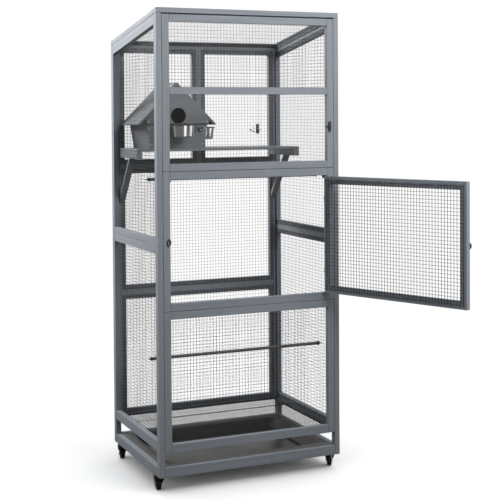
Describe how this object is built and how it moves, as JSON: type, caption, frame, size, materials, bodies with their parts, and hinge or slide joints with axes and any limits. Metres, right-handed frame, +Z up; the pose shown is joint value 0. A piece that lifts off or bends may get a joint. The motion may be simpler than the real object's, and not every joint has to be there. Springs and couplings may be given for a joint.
{
  "type": "bird cage",
  "caption": "Tall painted timber aviary on swivel casters, with wire mesh panels, a sloping roof, a hinged front door standing open, clear sliding panels, a nest shelf and a lift-out tray.",
  "frame": {"origin": "on the floor under the middle of the object's outline, open door included", "axes": "+Z up along the height, -Y out of the front door's side, +X to the right seen from the front"},
  "size_m": [0.9371, 1.124, 1.733],
  "materials": {
    "painted_timber": "slate grey satin paint on timber",
    "wire_mesh": "black coated welded wire",
    "black_hardware": "black powder coat",
    "tray_steel": "bright sheet steel",
    "cup_steel": "polished",
    "clear_panel": "clear acrylic",
    "dowel": "smooth dowel",
    "caster_metal": "gloss black pressing",
    "wheel_tread": "moulded tread"
  },
  "bodies": {
    "cage": {"left_lower_frame": "painted_timber", "left_upper_frame": "painted_timber", "right_lower_frame": "painted_timber", "right_upper_frame": "painted_timber", "back_upper_left_frame": "painted_timber", "back_upper_right_frame": "painted_timber", "back_middle_frame": "painted_timber", "back_lower_frame": "painted_timber", "front_upper_frame": "painted_timber", "door_surround": "painted_timber", "front_lower_frame": "painted_timber", "base_front_rail": "painted_timber", "base_back_rail": "painted_timber", "roof_frame": "painted_timber", "shelf_board": "painted_timber", "shelf_bracket_left": "painted_timber", "shelf_bracket_right": "painted_timber", "nest_body": "painted_timber", "nest_front": "painted_timber", "nest_roof_left": "painted_timber", "roof_mesh": "wire_mesh", "left_lower_mesh": "wire_mesh", "left_upper_mesh": "wire_mesh", "right_lower_mesh": "wire_mesh", "right_upper_mesh": "wire_mesh", "back_upper_left_mesh": "wire_mesh", "back_upper_right_mesh": "wire_mesh", "back_middle_mesh": "wire_mesh", "back_lower_mesh": "wire_mesh", "front_upper_mesh": "wire_mesh", "front_lower_mesh": "wire_mesh", "floor_grate": "wire_mesh", "hinge_upper_post_leaf": "black_hardware", "hinge_lower_post_leaf": "black_hardware", "latch_keeper": "black_hardware", "cup_holder_front": "black_hardware", "cup_holder_back": "black_hardware", "perch_upper": "dowel", "perch_lower": "dowel"},
    "door": {"door_frame": "painted_timber", "door_mesh": "wire_mesh", "hinge_upper_door_leaf": "black_hardware", "hinge_lower_door_leaf": "black_hardware"},
    "door_latch": {"door_latch": "black_hardware"},
    "left_panel": {"clear_panel_left": "clear_panel"},
    "panel_latch": {"panel_latch": "black_hardware"},
    "right_panel": {"clear_panel_right": "clear_panel"},
    "stile_latch": {"stile_latch": "black_hardware"},
    "tray": {"tray": "tray_steel"},
    "nest_lid": {"nest_lid": "painted_timber"},
    "cup_front": {"cup_front": "cup_steel"},
    "cup_back": {"cup_back": "cup_steel"},
    "caster_front_left": {"caster_front_left_fork": "caster_metal"},
    "wheel_front_left": {"caster_front_left_wheel": "wheel_tread"},
    "caster_front_right": {"caster_front_right_fork": "caster_metal"},
    "wheel_front_right": {"caster_front_right_wheel": "wheel_tread"},
    "caster_back_left": {"caster_back_left_fork": "caster_metal"},
    "wheel_back_left": {"caster_back_left_wheel": "wheel_tread"},
    "caster_back_right": {"caster_back_right_fork": "caster_metal"},
    "wheel_back_right": {"caster_back_right_wheel": "wheel_tread"}
  },
  "joints": [
    {"name": "door_hinge", "type": "hinge", "parent": "cage", "child": "door", "pos_m": [0.21014, 0.0201, 0.9016], "axis": [0, 0, 1], "range_deg": [-113.26, 61]},
    {"name": "door_latch_turn", "type": "hinge", "parent": "door", "child": "door_latch", "pos_m": [0.44828, -0.54177, 0.8995], "axis": [-0.9187, -0.3949, 0], "range_deg": [-100, 100]},
    {"name": "left_panel_slide", "type": "slide", "parent": "cage", "child": "left_panel", "axis": [1, 0, 0], "range_m": [0, 0.258]},
    {"name": "panel_latch_turn", "type": "hinge", "parent": "left_panel", "child": "panel_latch", "pos_m": [-0.07411, 0.0276, 1.3], "axis": [0, 1, 0], "range_deg": [-90, 90]},
    {"name": "right_panel_slide", "type": "slide", "parent": "cage", "child": "right_panel", "axis": [-1, 0, 0], "range_m": [0, 0.335]},
    {"name": "stile_latch_turn", "type": "hinge", "parent": "cage", "child": "stile_latch", "pos_m": [0.22039, 0.0232, 1.306], "axis": [0, 1, 0], "range_deg": [-90, 90]},
    {"name": "tray_lift", "type": "slide", "parent": "cage", "child": "tray", "axis": [0, 0, 1], "range_m": [0, 0.04]},
    {"name": "nest_lid_hinge", "type": "hinge", "parent": "cage", "child": "nest_lid", "pos_m": [-0.27641, 0.4235, 1.477], "axis": [0, -1, 0], "range_deg": [0, 75]},
    {"name": "cup_front_lift", "type": "slide", "parent": "cage", "child": "cup_front", "axis": [0, 0, 1], "range_m": [0, 0.06]},
    {"name": "cup_back_lift", "type": "slide", "parent": "cage", "child": "cup_back", "axis": [0, 0, 1], "range_m": [0, 0.008]},
    {"name": "caster_front_left_swivel", "type": "hinge", "parent": "cage", "child": "caster_front_left", "pos_m": [-0.44861, 0.0785, 0.055], "axis": [0, 0, 1], "continuous": true},
    {"name": "wheel_front_left_roll", "type": "hinge", "parent": "caster_front_left", "child": "wheel_front_left", "pos_m": [-0.44666, 0.09236, 0.022], "axis": [-0.9903, 0.1392, 0], "continuous": true},
    {"name": "caster_front_right_swivel", "type": "hinge", "parent": "cage", "child": "caster_front_right", "pos_m": [0.24339, 0.0785, 0.055], "axis": [0, 0, 1], "continuous": true},
    {"name": "wheel_front_right_roll", "type": "hinge", "parent": "caster_front_right", "child": "wheel_front_right", "pos_m": [0.24908, 0.09129, 0.022], "axis": [-0.9135, 0.4067, 0], "continuous": true},
    {"name": "caster_back_left_swivel", "type": "hinge", "parent": "cage", "child": "caster_back_left", "pos_m": [-0.44861, 0.507, 0.055], "axis": [0, 0, 1], "continuous": true},
    {"name": "wheel_back_left_roll", "type": "hinge", "parent": "caster_back_left", "child": "wheel_back_left", "pos_m": [-0.44666, 0.52086, 0.022], "axis": [-0.9903, 0.1392, 0], "continuous": true},
    {"name": "caster_back_right_swivel", "type": "hinge", "parent": "cage", "child": "caster_back_right", "pos_m": [0.24339, 0.507, 0.055], "axis": [0, 0, 1], "continuous": true},
    {"name": "wheel_back_right_roll", "type": "hinge", "parent": "caster_back_right", "child": "wheel_back_right", "pos_m": [0.24582, 0.52079, 0.022], "axis": [-0.9848, 0.1736, 0], "continuous": true}
  ]
}
